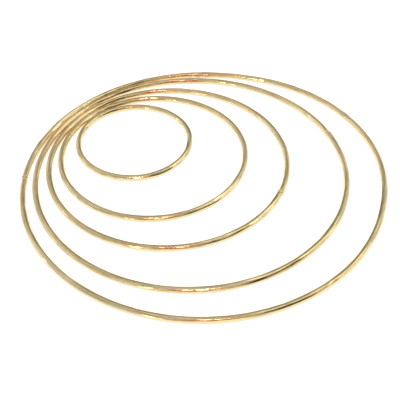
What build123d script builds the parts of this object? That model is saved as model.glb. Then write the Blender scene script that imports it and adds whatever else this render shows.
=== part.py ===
"""Set of five plain metal hoops used as wreath and dream-catcher frames.

Each hoop is one length of round wire bent into a ring and butt-welded shut, with a small
weld bead left at the join.  The five loose hoops lie flat, nested one inside the other,
and nearly touch at the back left.  Units are millimetres and +Z is up.  The origin is on
the resting plane, under the middle of the largest hoop's outer box.
"""
from build123d import *
from math import cos, degrees, radians, sin
import os

# Wire and weld, the same on every hoop
wire_diameter = 2.65
wire_radius = wire_diameter / 2
weld_length = 1.2
plain_bead = 0.08
raised_bead = 0.3
filed_clearance = 0.05

# Largest hoop, slightly egg-shaped: a round body, two flatter flanks and a tighter nose
body_radius = 72.2
flank_radius = 92.0
nose_axis = 30.0
flank_end_angle = 55.0
nose_half_angle = 41.0

# The four smaller hoops, by their outer diameters
hoop_130_diameter = 129.1
hoop_100_diameter = 101.1
hoop_80_diameter = 79.7
hoop_50_diameter = 50.0

# How the loose hoops lie: the direction in which each nearly touches the next larger one
lean_130 = 137.5
lean_100 = 147.0
lean_80 = 142.5
lean_50 = 134.5
hoop_gap = 0.08
weld_side_gap = 0.14

# Direction of each weld, seen from its hoop's centre
weld_150 = 180.0
weld_130 = 21.0
weld_100 = 336.0
weld_80 = 160.0
weld_50 = 133.0

# Worked out: the nose that joins both flanks smoothly, and the centrelines of the round hoops
flank_step = flank_radius - body_radius
nose_step = flank_step * sin(radians(flank_end_angle)) / sin(radians(nose_half_angle))
nose_radius = flank_radius - nose_step
nose_offset = nose_step * cos(radians(nose_half_angle)) - flank_step * cos(radians(flank_end_angle))
radius_130 = hoop_130_diameter / 2 - wire_radius
radius_100 = hoop_100_diameter / 2 - wire_radius
radius_80 = hoop_80_diameter / 2 - wire_radius
radius_50 = hoop_50_diameter / 2 - wire_radius


def direction(angle):
    """Unit vector in the resting plane, at an angle in degrees from +X."""
    return Vector(cos(radians(angle)), sin(radians(angle)), 0)


def nested_centre(outer_centre, outer_radius, inner_radius, lean, gap):
    """Centre of a hoop that lies inside another, a small gap from it in the lean direction."""
    offset = outer_radius - inner_radius - wire_diameter - gap
    return outer_centre + direction(lean) * offset


def weld_half_angle(radius):
    """Half of the angle that the weld takes out of an arc of this radius."""
    return degrees(weld_length / 2 / radius)


def round_path(centre, radius, weld_angle):
    """A plain round hoop, open only at its weld."""
    half_gap = weld_half_angle(radius)
    with BuildLine() as path:
        CenterArc(centre, radius, weld_angle + half_gap, 360 - 2 * half_gap)
    return path.wire()


def egg_path(centre, weld_angle):
    """The largest hoop: tangent arcs whose centres step along the normals that they share."""
    half_gap = weld_half_angle(body_radius)
    low_joint = nose_axis - flank_end_angle
    low_nose = nose_axis - nose_half_angle
    high_nose = nose_axis + nose_half_angle
    high_joint = nose_axis + flank_end_angle
    low_flank = centre - direction(low_joint) * flank_step
    high_flank = centre - direction(high_joint) * flank_step
    nose = centre + direction(nose_axis) * nose_offset
    start = weld_angle + half_gap
    with BuildLine() as path:
        CenterArc(centre, body_radius, start, 360 + low_joint - start)
        CenterArc(low_flank, flank_radius, low_joint, low_nose - low_joint)
        CenterArc(nose, nose_radius, low_nose, high_nose - low_nose)
        CenterArc(high_flank, flank_radius, high_nose, high_joint - high_nose)
        CenterArc(centre, body_radius, high_joint, weld_angle - half_gap - high_joint)
    return path.wire()


def make_wire(name, path):
    """The wire of one hoop: a round section swept from one weld face to the other."""
    with BuildPart() as wire:
        with BuildSketch(Plane(origin=path @ 0, z_dir=path % 0)):
            Circle(wire_radius)
        sweep(path=path)
    wire.part.label = name
    export_step(wire.part, f"parts/{name}.step")


def make_weld(name, path, bead_height):
    """The weld bead: a short barrel that fills the gap between the two ends of the wire."""
    start, start_tangent = path @ 0, path % 0
    end, end_tangent = path @ 1, path % 1
    middle = (start + end) / 2
    along = (start_tangent + end_tangent).normalized()
    half_gap = (end - start).length / 2
    with BuildPart() as weld:
        with BuildSketch(Plane(origin=middle, x_dir=along, z_dir=(0, 0, 1))):
            with BuildLine():
                ThreePointArc(
                    (-half_gap, wire_radius),
                    (0, wire_radius + bead_height),
                    (half_gap, wire_radius),
                )
                Polyline(
                    (half_gap, wire_radius),
                    (weld_length, wire_radius),
                    (weld_length, 0),
                    (-weld_length, 0),
                    (-weld_length, wire_radius),
                    (-half_gap, wire_radius),
                )
            make_face()
        revolve(axis=Axis(middle, along), revolution_arc=360)
        # The ends lie on the wire's own end faces, and the underside is filed just clear
        split(bisect_by=Plane(origin=start, z_dir=start_tangent), keep=Keep.BOTTOM)
        split(bisect_by=Plane(origin=end, z_dir=end_tangent), keep=Keep.TOP)
        split(bisect_by=Plane.XY.offset(filed_clearance), keep=Keep.TOP)
    weld.part.label = name
    export_step(weld.part, f"parts/{name}.step")


# The largest hoop's box runs from its weld bead at the left to its nose at the right
left_reach = body_radius + plain_bead
right_reach = nose_offset * cos(radians(nose_axis)) + nose_radius
centre_150 = Vector((left_reach - right_reach) / 2, 0, wire_radius)
centre_130 = nested_centre(centre_150, body_radius, radius_130, lean_130, hoop_gap)
centre_100 = nested_centre(centre_130, radius_130, radius_100, lean_100, hoop_gap)
centre_80 = nested_centre(centre_100, radius_100, radius_80, lean_80, hoop_gap)
centre_50 = nested_centre(centre_80, radius_80, radius_50, lean_50, weld_side_gap)

hoops = (
    ("hoop_150", egg_path(centre_150, weld_150), plain_bead),
    ("hoop_130", round_path(centre_130, radius_130, weld_130), raised_bead),
    ("hoop_100", round_path(centre_100, radius_100, weld_100), raised_bead),
    ("hoop_80", round_path(centre_80, radius_80, weld_80), plain_bead),
    ("hoop_50", round_path(centre_50, radius_50, weld_50), plain_bead),
)

os.makedirs("parts", exist_ok=True)
for hoop_name, hoop_path, bead in hoops:
    make_wire(f"{hoop_name}_wire", hoop_path)
    make_weld(f"{hoop_name}_weld", hoop_path, bead)
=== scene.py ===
"""Looks for the set of five nested gold hoops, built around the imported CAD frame.

Each hoop's wire and weld bead replace their CAD nodes with finely swept meshes.  Metres, +Z up.
"""
import math

import bpy
import numpy as np
from mathutils import Matrix, Vector


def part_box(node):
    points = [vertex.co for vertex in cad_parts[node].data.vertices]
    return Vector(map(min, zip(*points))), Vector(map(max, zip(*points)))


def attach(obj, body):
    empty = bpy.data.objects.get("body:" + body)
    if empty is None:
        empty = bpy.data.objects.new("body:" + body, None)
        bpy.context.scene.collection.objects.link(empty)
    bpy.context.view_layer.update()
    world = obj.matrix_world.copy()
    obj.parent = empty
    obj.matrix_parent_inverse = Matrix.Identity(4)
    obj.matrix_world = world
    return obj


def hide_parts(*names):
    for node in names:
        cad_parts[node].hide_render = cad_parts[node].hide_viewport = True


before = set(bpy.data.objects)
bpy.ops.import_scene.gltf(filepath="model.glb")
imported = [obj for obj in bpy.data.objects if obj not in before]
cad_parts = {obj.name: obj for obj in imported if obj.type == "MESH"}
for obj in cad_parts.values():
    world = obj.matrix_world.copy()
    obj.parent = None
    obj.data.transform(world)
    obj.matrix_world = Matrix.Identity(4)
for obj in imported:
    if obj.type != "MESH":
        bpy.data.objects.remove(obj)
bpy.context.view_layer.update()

MM = 0.001

# Sizes read from the frame: the wire is as thick as its node is high
WIRE_RADIUS = (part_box("hoop_150_wire")[1].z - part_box("hoop_150_wire")[0].z) / 2

# Shape of the largest hoop: a round body, two flatter flanks and a tighter nose
FLANK_RADIUS = 92.0 * MM
NOSE_AXIS = 30.0
FLANK_END = 55.0
NOSE_HALF = 41.0

# Mesh fineness
RING_STEP = 0.6 * MM
SECTION_POINTS = 48
BEAD_RINGS = 28

# Weld: its length, how far its underside is filed clear of the floor, and how far along the wire
# the step between the two ends dies away
WELD_LENGTH = 1.2 * MM
FILED_HEIGHT = 0.05 * MM
STEP_FADE = 3.5 * MM

# Weld bead: how full its profile is (1 is a parabola), and its lumps, each with the number around
# the bead and the height as a share of the bead's own
BEAD_FULLNESS = 0.8
BEAD_LUMPS = ((2, 0.18), (5, 0.12))

# Unevenness of the wire, and how far the scuffed spot reaches to either side of the hoop's back
WAVE_HEIGHT = 0.02 * MM
WAVELENGTHS = (60 * MM, 34 * MM, 19 * MM)
SCUFF_REACH = 6.0 * MM

# Floor and backdrop, far larger than the hoops
FLOOR_HALF = 4.0
BACKDROP_RADIUS = 3.5
BACKDROP_HEIGHT = 7.0
BACKDROP_SIDES = 64


def direction(angle):
    """Unit vector in the floor plane, at an angle in degrees from +X."""
    return np.array([math.cos(math.radians(angle)), math.sin(math.radians(angle))])


# ---- Paths: the centreline of each hoop, as seen from above --------------------------------------


def arc(centre, radius, start, sweep):
    """Points along an arc, its end left out so that the next piece of path can follow."""
    count = max(2, round(abs(math.radians(sweep)) * radius / RING_STEP))
    angles = np.radians(start + sweep * np.arange(count) / count)
    return centre + radius * np.stack([np.cos(angles), np.sin(angles)], axis=1)


def weld_half_angle(radius):
    """Half of the angle that the weld takes out of an arc of this radius."""
    return math.degrees(WELD_LENGTH / 2 / radius)


def round_path(centre, radius, weld):
    """A plain round hoop, open only at its weld."""
    half = weld_half_angle(radius)
    end = centre + radius * direction(weld - half)
    return np.vstack([arc(centre, radius, weld + half, 360 - 2 * half), end])


def egg_path(centre, radius, weld):
    """Tangent arcs whose centres step along the normals that they share."""
    half = weld_half_angle(radius)
    low_joint, high_joint = NOSE_AXIS - FLANK_END, NOSE_AXIS + FLANK_END
    low_nose, high_nose = NOSE_AXIS - NOSE_HALF, NOSE_AXIS + NOSE_HALF
    flank_step = FLANK_RADIUS - radius
    nose_step = flank_step * math.sin(math.radians(FLANK_END)) / math.sin(math.radians(NOSE_HALF))
    nose_offset = nose_step * math.cos(math.radians(NOSE_HALF))
    nose_offset -= flank_step * math.cos(math.radians(FLANK_END))
    nose = centre + direction(NOSE_AXIS) * nose_offset
    low_flank = centre - direction(low_joint) * flank_step
    high_flank = centre - direction(high_joint) * flank_step
    start = weld + half
    return np.vstack([
        arc(centre, radius, start, 360 + low_joint - start),
        arc(low_flank, FLANK_RADIUS, low_joint, low_nose - low_joint),
        arc(nose, FLANK_RADIUS - nose_step, low_nose, high_nose - low_nose),
        arc(high_flank, FLANK_RADIUS, high_nose, high_joint - high_nose),
        arc(centre, radius, high_joint, weld - half - high_joint),
        centre + radius * direction(weld - half),
    ])


# ---- Meshes --------------------------------------------------------------------------------------


def tube_mesh(name, rings, coordinates):
    """A closed tube from rings of points, with each point's place on the straight, unbent wire."""
    count, around = rings.shape[:2]
    index = np.arange(count * around).reshape(count, around)
    following = np.roll(index, -1, axis=1)
    quads = np.stack([index[:-1], following[:-1], following[1:], index[1:]], axis=-1).reshape(-1, 4)
    mesh = bpy.data.meshes.new(name)
    faces = quads.tolist() + [index[0][::-1].tolist(), index[-1].tolist()]
    mesh.from_pydata(rings.reshape(-1, 3).tolist(), [], faces)
    mesh.polygons.foreach_set("use_smooth", [True] * len(quads) + [False, False])
    attribute = mesh.attributes.new("wire_mm", "FLOAT_VECTOR", "POINT")
    attribute.data.foreach_set("vector", coordinates.astype(np.float32).ravel())
    mesh.validate()
    mesh.update()
    piece = bpy.data.objects.new(name, mesh)
    bpy.context.scene.collection.objects.link(piece)
    return piece


def wire_piece(name, path, step, scuff, seed):
    """The wire swept along its path.  At the weld its two ends miss each other by a small step."""
    lengths = np.concatenate([[0], np.cumsum(np.linalg.norm(np.diff(path, axis=0), axis=1))])
    tangent = np.gradient(path, lengths, axis=0)
    tangent /= np.linalg.norm(tangent, axis=1, keepdims=True)
    outward = np.stack([tangent[:, 1], -tangent[:, 0]], axis=1)
    near_start = np.exp(-(lengths / STEP_FADE) ** 2)
    near_end = np.exp(-((lengths[-1] - lengths) / STEP_FADE) ** 2)
    shift = -step / 2 * near_start + step / 2 * near_end
    # The waves only go inward, so that the wire never leaves the hoop's outer size
    shift += WAVE_HEIGHT * (waviness(lengths, seed) - 1)
    angles = np.arange(SECTION_POINTS) * 2 * math.pi / SECTION_POINTS
    centre = path + outward * shift[:, None]
    side = WIRE_RADIUS * np.cos(angles)
    rise = WIRE_RADIUS * np.sin(angles)
    flat = centre[:, None, :] + outward[:, None, :] * side[None, :, None]
    height = np.broadcast_to(WIRE_RADIUS + rise, flat.shape[:2])
    rings = np.concatenate([flat, height[:, :, None]], axis=2)
    along = np.broadcast_to(lengths[:, None], flat.shape[:2])
    across = np.broadcast_to(side, flat.shape[:2])
    up = np.broadcast_to(rise, flat.shape[:2])
    coordinates = np.stack([along, across, up], axis=2) / MM
    piece = tube_mesh(name, rings, coordinates)
    middle = path.mean(axis=0)
    from_back = (path[:, 0] - middle[0]) / SCUFF_REACH
    wear = scuff * np.exp(-from_back ** 2) * (path[:, 1] > middle[1])
    attribute = piece.data.attributes.new("scuff", "FLOAT", "POINT")
    attribute.data.foreach_set("value", np.repeat(wear, SECTION_POINTS).astype(np.float32))
    return piece


def waviness(lengths, seed):
    """A gentle random wave, about -1 to 1, as in wire that was bent by hand."""
    random = np.random.default_rng(seed)
    total = np.zeros(len(lengths))
    for wavelength in WAVELENGTHS:
        total += np.sin(2 * math.pi * lengths / wavelength + random.uniform(0, 2 * math.pi))
    return total / len(WAVELENGTHS)


def bead_piece(name, centre, radius, weld, height, step, seed):
    """The weld bead: an uneven barrel between the wire's two ends, filed flat underneath."""
    random = np.random.default_rng(seed)
    along = np.linspace(-WELD_LENGTH / 2, WELD_LENGTH / 2, BEAD_RINGS)
    angles = np.arange(SECTION_POINTS) * 2 * math.pi / SECTION_POINTS
    lumps = np.ones(SECTION_POINTS)
    for around, size in BEAD_LUMPS:
        lumps += size * np.cos(around * angles + random.uniform(0, 6))
    profile = np.clip(1 - (2 * along / WELD_LENGTH) ** 2, 0, 1) ** BEAD_FULLNESS
    reach = WIRE_RADIUS + height * profile[:, None] * lumps[None, :] / lumps.max()
    outward = direction(weld)
    tangent = direction(weld + 90)
    middle = centre + radius * outward
    drift = -step / 2 * (along / (WELD_LENGTH / 2))
    spine = middle + np.outer(along, tangent) + np.outer(drift, outward)
    side = reach * np.cos(angles)
    rise = reach * np.sin(angles)
    flat = spine[:, None, :] + outward * side[:, :, None]
    level = np.maximum(WIRE_RADIUS + rise, FILED_HEIGHT)
    rings = np.concatenate([flat, level[:, :, None]], axis=2)
    coordinates = np.stack([np.broadcast_to(along[:, None], side.shape), side, rise], axis=2) / MM
    return tube_mesh(name, rings, coordinates)


# ---- Materials -----------------------------------------------------------------------------------


def new_material(name):
    """A material with its node tree and its main shader."""
    material = bpy.data.materials.new(name)
    material.use_nodes = True
    return material, material.node_tree, material.node_tree.nodes["Principled BSDF"]


def wire_noise(tree, stretch, scale, detail=2.0):
    """Noise laid along the straight, unbent wire and drawn out lengthwise by a factor."""
    place = tree.nodes.new("ShaderNodeAttribute")
    place.attribute_name = "wire_mm"
    mapping = tree.nodes.new("ShaderNodeMapping")
    mapping.inputs["Scale"].default_value = (1 / stretch, 1, 1)
    noise = tree.nodes.new("ShaderNodeTexNoise")
    noise.inputs["Scale"].default_value = scale
    noise.inputs["Detail"].default_value = detail
    tree.links.new(place.outputs["Vector"], mapping.inputs["Vector"])
    tree.links.new(mapping.outputs["Vector"], noise.inputs["Vector"])
    return noise.outputs["Fac"]


def ramp(tree, factor, stops):
    """A colour that changes between stops, each a position and a colour."""
    node = tree.nodes.new("ShaderNodeValToRGB")
    while len(node.color_ramp.elements) < len(stops):
        node.color_ramp.elements.new(0.5)
    for element, (position, colour) in zip(node.color_ramp.elements, stops):
        element.position = position
        element.color = (*colour, 1)
    tree.links.new(factor, node.inputs["Fac"])
    return node.outputs["Color"]


def remap(tree, factor, low, high):
    """Noise, which mostly lies between 0.3 and 0.7, stretched between two values."""
    node = tree.nodes.new("ShaderNodeMapRange")
    node.inputs["From Min"].default_value = 0.3
    node.inputs["From Max"].default_value = 0.7
    node.inputs["To Min"].default_value = low
    node.inputs["To Max"].default_value = high
    tree.links.new(factor, node.inputs["Value"])
    return node.outputs["Result"]


def bump(tree, height, strength, distance, normal=None):
    """Fine relief, laid over any relief that is there already."""
    node = tree.nodes.new("ShaderNodeBump")
    node.inputs["Strength"].default_value = strength
    node.inputs["Distance"].default_value = distance
    tree.links.new(height, node.inputs["Height"])
    if normal is not None:
        tree.links.new(normal, node.inputs["Normal"])
    return node.outputs["Normal"]


def blend(tree, factor, base, top, mode="MIX"):
    """Lays a colour over another; the factor and the top colour are outputs or plain values."""
    node = tree.nodes.new("ShaderNodeMix")
    node.data_type = "RGBA"
    node.blend_type = mode
    tree.links.new(base, node.inputs["A"])
    if isinstance(factor, float):
        node.inputs["Factor"].default_value = factor
    else:
        tree.links.new(factor, node.inputs["Factor"])
    if isinstance(top, tuple):
        node.inputs["B"].default_value = (*top, 1)
    else:
        tree.links.new(top, node.inputs["B"])
    return node.outputs["Result"]


def scuffed(tree, factor):
    """A pattern kept only where the wire's plating is scuffed."""
    place = tree.nodes.new("ShaderNodeAttribute")
    place.attribute_name = "scuff"
    product = tree.nodes.new("ShaderNodeMath")
    product.operation = "MULTIPLY"
    tree.links.new(factor, product.inputs[0])
    tree.links.new(place.outputs["Fac"], product.inputs[1])
    return product.outputs["Value"]


def gold_plating_material():
    """Bright gold plating with slight tint changes, drawing lines, a ripple and a scuffed spot."""
    material, tree, shader = new_material("gold_plating")
    tint = wire_noise(tree, 8, 0.25)
    colour = ramp(tree, tint, [(0.35, (0.90, 0.67, 0.30)), (0.65, (0.95, 0.72, 0.35))])
    lines = wire_noise(tree, 25, 1.3, 3.0)
    ripple = wire_noise(tree, 8, 0.35)
    pits = scuffed(tree, remap(tree, wire_noise(tree, 2, 0.9, 3.0), 0, 1))
    colour = blend(tree, pits, colour, (0.42, 0.24, 0.09))
    tree.links.new(colour, shader.inputs["Base Color"])
    tree.links.new(remap(tree, lines, 0.03, 0.07), shader.inputs["Roughness"])
    fine = bump(tree, lines, 1.0, 0.2 * MM, bump(tree, pits, 1.0, 0.15 * MM))
    tree.links.new(bump(tree, ripple, 1.0, 0.7 * MM, fine), shader.inputs["Normal"])
    shader.inputs["Metallic"].default_value = 1
    shader.inputs["Coat Weight"].default_value = 1
    shader.inputs["Coat Roughness"].default_value = 0.03
    return material


def weld_metal_material():
    """Weld metal: a little paler than the wire, with a finely grained, less polished skin."""
    material, tree, shader = new_material("weld_metal")
    blotch = wire_noise(tree, 1, 1.2)
    grain = wire_noise(tree, 1, 9.0, 5.0)
    colour = ramp(tree, blotch, [(0.35, (0.93, 0.70, 0.36)), (0.65, (0.97, 0.78, 0.46))])
    tree.links.new(colour, shader.inputs["Base Color"])
    tree.links.new(remap(tree, grain, 0.05, 0.14), shader.inputs["Roughness"])
    tree.links.new(bump(tree, grain, 0.4, 0.02 * MM), shader.inputs["Normal"])
    shader.inputs["Metallic"].default_value = 1
    return material


def floor_material():
    """Plain white, partly lit by itself so that narrow gaps between the hoops stay white."""
    material, tree, shader = new_material("floor_white")
    shader.inputs["Base Color"].default_value = (0.30, 0.30, 0.30, 1)
    shader.inputs["Roughness"].default_value = 0.6
    shader.inputs["Emission Color"].default_value = (1, 1, 1, 1)
    shader.inputs["Emission Strength"].default_value = 0.9
    return material


# ---- Floor, light and camera ---------------------------------------------------------------------


def make_floor(material):
    """The plain pale floor that the hoops lie on."""
    mesh = bpy.data.meshes.new("floor")
    half = FLOOR_HALF
    corners = [(-half, -half, 0), (half, -half, 0), (half, half, 0), (-half, half, 0)]
    mesh.from_pydata(corners, [], [(0, 1, 2, 3)])
    mesh.materials.append(material)
    floor = bpy.data.objects.new("floor", mesh)
    bpy.context.scene.collection.objects.link(floor)


def make_backdrop(material):
    """A plain white wall far round the hoops, there for the camera and not for the light."""
    mesh = bpy.data.meshes.new("backdrop")
    sides = BACKDROP_SIDES
    turns = np.arange(sides) * 2 * math.pi / sides
    ring = BACKDROP_RADIUS * np.stack([np.cos(turns), np.sin(turns)], axis=1)
    points = [(x, y, z) for z in (0.0, BACKDROP_HEIGHT) for x, y in ring]
    walls = [(i, (i + 1) % sides, (i + 1) % sides + sides, i + sides) for i in range(sides)]
    mesh.from_pydata(points, [], walls)
    mesh.materials.append(material)
    backdrop = bpy.data.objects.new("backdrop", mesh)
    backdrop.visible_glossy = False
    backdrop.visible_diffuse = False
    backdrop.visible_shadow = False
    bpy.context.scene.collection.objects.link(backdrop)


def sky_direction(azimuth, elevation):
    """Towards a place in the room: azimuth 0 is straight behind the hoops, 90 to their right."""
    flat = math.cos(math.radians(elevation))
    turn = math.radians(azimuth)
    return (math.sin(turn) * flat, math.cos(turn) * flat, math.sin(math.radians(elevation)))


# Soft boxes: azimuth, elevation, half width in degrees, brightness.  The core of a box or patch is
# the share of its half width that is at full strength
SOFT_BOXES = (
    (-152, 24, 4, 10.0),
    (174, 66, 5, 10.0),
    (75, 54, 3.5, 5.0),
    (77, 20, 7, 2.0),
    (-84, 22, 3, 3.0),
)
BOX_CORE = 0.7
# Soft patches: azimuth, elevation, half width, colour, how strongly it covers the room.  They stand
# for a dull room behind the hoops, a bright ceiling, dark and red things near the camera, and
# pale walls to the sides
PATCHES = (
    (0, 3, 42, (0.17, 0.22, 0.22), 0.9),
    (55, 58, 20, (1.3, 1.3, 1.3), 0.95),
    (122, 38, 26, (0.03, 0.03, 0.025), 0.95),
    (173, 42, 22, (0.62, 0.15, 0.12), 0.95),
    (80, 8, 30, (0.90, 1.00, 1.15), 0.8),
    (-80, 8, 30, (0.95, 1.00, 1.15), 0.85),
    (-165, 10, 25, (0.95, 0.95, 1.0), 0.7),
)
PATCH_CORE = 0.6
CEILING = (0.58, 0.63, 0.78)
HORIZON = (0.78, 0.84, 0.99)
# How the room's light is mottled: stops along a noise, and what they multiply the light by
MOTTLE = [(0.4, (0.62, 0.58, 0.50)), (0.5, (0.98, 0.98, 0.98)), (0.6, (1.2, 1.2, 1.2))]
MOTTLE_SCALE = 5.0
MOTTLE_DETAIL = 4

# Light straight above: its strength, and its width in degrees
OVERHEAD_ENERGY = 0.6
OVERHEAD_WIDTH = 150

# Camera, fitted to the hoops' outlines: degrees down and of roll, lens in mm, and where it stands
CAMERA_DOWN = 43.83
CAMERA_ROLL = -0.705
CAMERA_LENS = 70.34
CAMERA_PLACE = (-1.73 * MM, -235.2 * MM, 214.5 * MM)


def make_room():
    """The light around the hoops: a pale, uneven room with soft patches and small soft boxes."""
    world = bpy.data.worlds.new("room")
    bpy.context.scene.world = world
    world.use_nodes = True
    tree = world.node_tree
    background = tree.nodes["Background"]
    view = tree.nodes.new("ShaderNodeTexCoord").outputs["Generated"]
    split = tree.nodes.new("ShaderNodeSeparateXYZ")
    tree.links.new(view, split.inputs["Vector"])
    shade = ramp(tree, split.outputs["Z"], [(0.0, HORIZON), (0.5, CEILING)])
    for azimuth, elevation, half_width, colour, cover in PATCHES:
        mask = lobe(tree, view, azimuth, elevation, half_width, PATCH_CORE, cover)
        shade = blend(tree, mask, shade, colour)
    mottle = tree.nodes.new("ShaderNodeTexNoise")
    mottle.inputs["Scale"].default_value = MOTTLE_SCALE
    mottle.inputs["Detail"].default_value = MOTTLE_DETAIL
    tree.links.new(view, mottle.inputs["Vector"])
    shade = blend(tree, 1.0, shade, ramp(tree, mottle.outputs["Fac"], MOTTLE), "MULTIPLY")
    for azimuth, elevation, half_width, strength in SOFT_BOXES:
        mask = lobe(tree, view, azimuth, elevation, half_width, BOX_CORE, 1.0)
        shade = blend(tree, mask, shade, (strength,) * 3)
    tree.links.new(shade, background.inputs["Color"])


def lobe(tree, view, azimuth, elevation, half_width, core, cover):
    """The given cover inside a round patch of the room, falling smoothly to 0 at its rim."""
    product = tree.nodes.new("ShaderNodeVectorMath")
    product.operation = "DOT_PRODUCT"
    product.inputs[1].default_value = sky_direction(azimuth, elevation)
    tree.links.new(view, product.inputs[0])
    mask = tree.nodes.new("ShaderNodeMapRange")
    mask.interpolation_type = "SMOOTHSTEP"
    mask.inputs["From Min"].default_value = math.cos(math.radians(half_width))
    mask.inputs["From Max"].default_value = math.cos(math.radians(half_width * core))
    mask.inputs["To Max"].default_value = cover
    tree.links.new(product.outputs["Value"], mask.inputs["Value"])
    return mask.outputs["Result"]


def make_overhead_light():
    """A very wide soft light straight above: it whitens the floor and isn't seen in the gold."""
    light = bpy.data.lights.new("overhead", "SUN")
    light.energy = OVERHEAD_ENERGY
    light.angle = math.radians(OVERHEAD_WIDTH)
    lamp = bpy.data.objects.new("overhead", light)
    lamp.visible_glossy = False
    bpy.context.scene.collection.objects.link(lamp)


def make_camera():
    """Looks down at the hoops from the front, with a long lens and a very slight roll."""
    elevation, roll = math.radians(CAMERA_DOWN), math.radians(CAMERA_ROLL)
    forward = Vector((0, math.cos(elevation), -math.sin(elevation)))
    upright = Vector((0, math.sin(elevation), math.cos(elevation)))
    level = Vector((1, 0, 0))
    right = math.cos(roll) * level + math.sin(roll) * upright
    up = -math.sin(roll) * level + math.cos(roll) * upright
    camera = bpy.data.cameras.new("camera")
    camera.sensor_width = 36
    camera.lens = CAMERA_LENS
    camera.clip_start = 0.01
    mount = bpy.data.objects.new("camera", camera)
    bpy.context.scene.collection.objects.link(mount)
    placed = Matrix((right, up, -forward)).transposed().to_4x4()
    placed.translation = CAMERA_PLACE
    mount.matrix_world = placed
    bpy.context.scene.camera = mount


# ---- Assembly ------------------------------------------------------------------------------------

# Each hoop: its path, how proud the bead stands, how far the wire's ends miss each other, and
# how scuffed the plating is at the back
HOOPS = (
    ("hoop_150", egg_path, 0.08 * MM, 0.1 * MM, 0.8),
    ("hoop_130", round_path, 0.3 * MM, 0.34 * MM, 0.6),
    ("hoop_100", round_path, 0.3 * MM, -0.12 * MM, 0.0),
    ("hoop_80", round_path, 0.08 * MM, 0.0, 0.0),
    ("hoop_50", round_path, 0.08 * MM, 0.0, 0.0),
)


def hoop_circle(name):
    """Centre and centreline radius of a hoop's round body, and the direction of its weld."""
    low, high = (np.array(corner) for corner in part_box(f"{name}_wire"))
    radius = (high[1] - low[1]) / 2 - WIRE_RADIUS
    centre = np.array([low[0] + WIRE_RADIUS + radius, (low[1] + high[1]) / 2])
    weld_low, weld_high = (np.array(corner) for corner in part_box(f"{name}_weld"))
    offset = (weld_low + weld_high)[:2] / 2 - centre
    return centre, radius, math.degrees(math.atan2(offset[1], offset[0])) % 360


gold_plating = gold_plating_material()
weld_metal = weld_metal_material()
for seed, (name, make_path, bead_height, step, scuff) in enumerate(HOOPS):
    centre, radius, weld = hoop_circle(name)
    wire = wire_piece(f"{name}_gold_wire", make_path(centre, radius, weld), step, scuff, seed)
    bead = bead_piece(f"{name}_weld_bead", centre, radius, weld, bead_height, step, seed)
    for piece, part, material, slot in (
        (wire, "wire", gold_plating, "gold_wire"),
        (bead, "weld", weld_metal, "weld_bead"),
    ):
        piece.data.materials.append(material)
        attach(piece, name)
        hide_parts(f"{name}_{part}")

floor_white = floor_material()
make_floor(floor_white)
make_backdrop(floor_white)
make_room()
make_overhead_light()
make_camera()
bpy.context.scene.view_settings.view_transform = "Standard"
